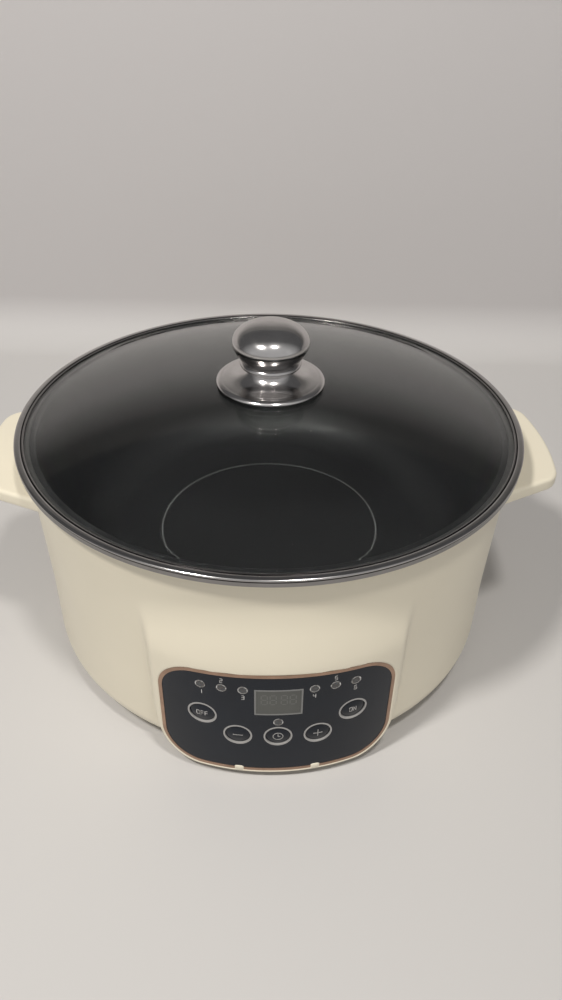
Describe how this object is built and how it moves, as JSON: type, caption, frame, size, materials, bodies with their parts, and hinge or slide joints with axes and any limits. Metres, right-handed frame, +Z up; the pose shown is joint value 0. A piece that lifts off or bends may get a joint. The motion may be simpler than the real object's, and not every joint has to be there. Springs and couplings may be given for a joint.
{
  "type": "electric hot pot with lid",
  "caption": "Round electric hot pot with a black pan in a cream shell, ear handles, a curved control panel with push buttons, and a lift-off domed glass lid with a steel rim and knob.",
  "frame": {"origin": "on the table under the axis of the pot, at the plane of the feet", "axes": "+Z up, -Y towards the control panel, X along the two ear handles"},
  "size_m": [0.348, 0.3, 0.2085],
  "materials": {
    "cream_plastic": "satin moulded plastic",
    "base_plastic": "matt moulded plastic",
    "nonstick_black": "satin non-stick coating",
    "silicone": "matt silicone",
    "foot_rubber": "matt rubber",
    "cast_aluminium": "as cast",
    "heater_steel": "oxidised tube",
    "shield_steel": "plain sheet",
    "screw_steel": "zinc plated",
    "ceramic_body": "ceramic",
    "black_plastic": "moulded",
    "pin_brass": "plated",
    "board_green": "circuit board",
    "panel_dark": "gloss",
    "copper_trim": "satin copper",
    "pale_grey": "printed grey",
    "display_lens": "tinted lens",
    "lamp_lens": "milky lens",
    "lid_clear_glass": "clear tempered",
    "polished_steel": "polished"
  },
  "bodies": {
    "pot": {"outer_shell": "cream_plastic", "inner_pan": "nonstick_black", "pan_gasket": "silicone", "heating_plate": "cast_aluminium", "heating_element": "heater_steel", "heat_shield": "shield_steel", "shield_screws": "screw_steel", "plate_screws": "screw_steel", "temperature_sensor": "cast_aluminium", "sensor_spring": "screw_steel", "thermal_fuse": "ceramic_body", "base_cover": "base_plastic", "base_screws": "screw_steel", "rubber_feet": "foot_rubber", "power_inlet": "black_plastic", "inlet_pins": "pin_brass", "inlet_screws": "screw_steel", "power_board": "board_green", "power_components": "black_plastic", "power_board_screws": "screw_steel", "front_panel": "panel_dark", "panel_trim": "copper_trim", "button_rings": "pale_grey", "display_bezel": "pale_grey", "display_window": "display_lens", "display_module": "black_plastic", "control_board": "board_green", "control_board_screws": "screw_steel", "push_switches": "black_plastic", "indicator_lenses": "lamp_lens", "indicator_leds": "lamp_lens"},
    "lid": {"lid_glass": "lid_clear_glass", "lid_rim": "polished_steel", "knob_head": "polished_steel", "knob_skirt": "polished_steel", "knob_spacer": "black_plastic", "knob_screw": "screw_steel", "knob_washer": "screw_steel", "knob_seal": "silicone"},
    "cancel": {"cancel_button": "panel_dark"},
    "minus": {"minus_button": "panel_dark"},
    "reserve": {"reserve_button": "panel_dark"},
    "plus": {"plus_button": "panel_dark"},
    "function": {"function_button": "panel_dark"}
  },
  "joints": [
    {"name": "lid_lift", "type": "slide", "parent": "pot", "child": "lid", "axis": [0, 0, 1], "range_m": [0, 0.12]},
    {"name": "cancel_press", "type": "slide", "parent": "pot", "child": "cancel", "axis": [0, 1, 0], "range_m": [0, 0.0005], "stiffness_N_per_m": 600},
    {"name": "minus_press", "type": "slide", "parent": "pot", "child": "minus", "axis": [0, 1, 0], "range_m": [0, 0.0005], "stiffness_N_per_m": 600},
    {"name": "reserve_press", "type": "slide", "parent": "pot", "child": "reserve", "axis": [0, 1, 0], "range_m": [0, 0.0005], "stiffness_N_per_m": 600},
    {"name": "plus_press", "type": "slide", "parent": "pot", "child": "plus", "axis": [0, 1, 0], "range_m": [0, 0.0005], "stiffness_N_per_m": 600},
    {"name": "function_press", "type": "slide", "parent": "pot", "child": "function", "axis": [0, 1, 0], "range_m": [0, 0.0005], "stiffness_N_per_m": 600}
  ]
}
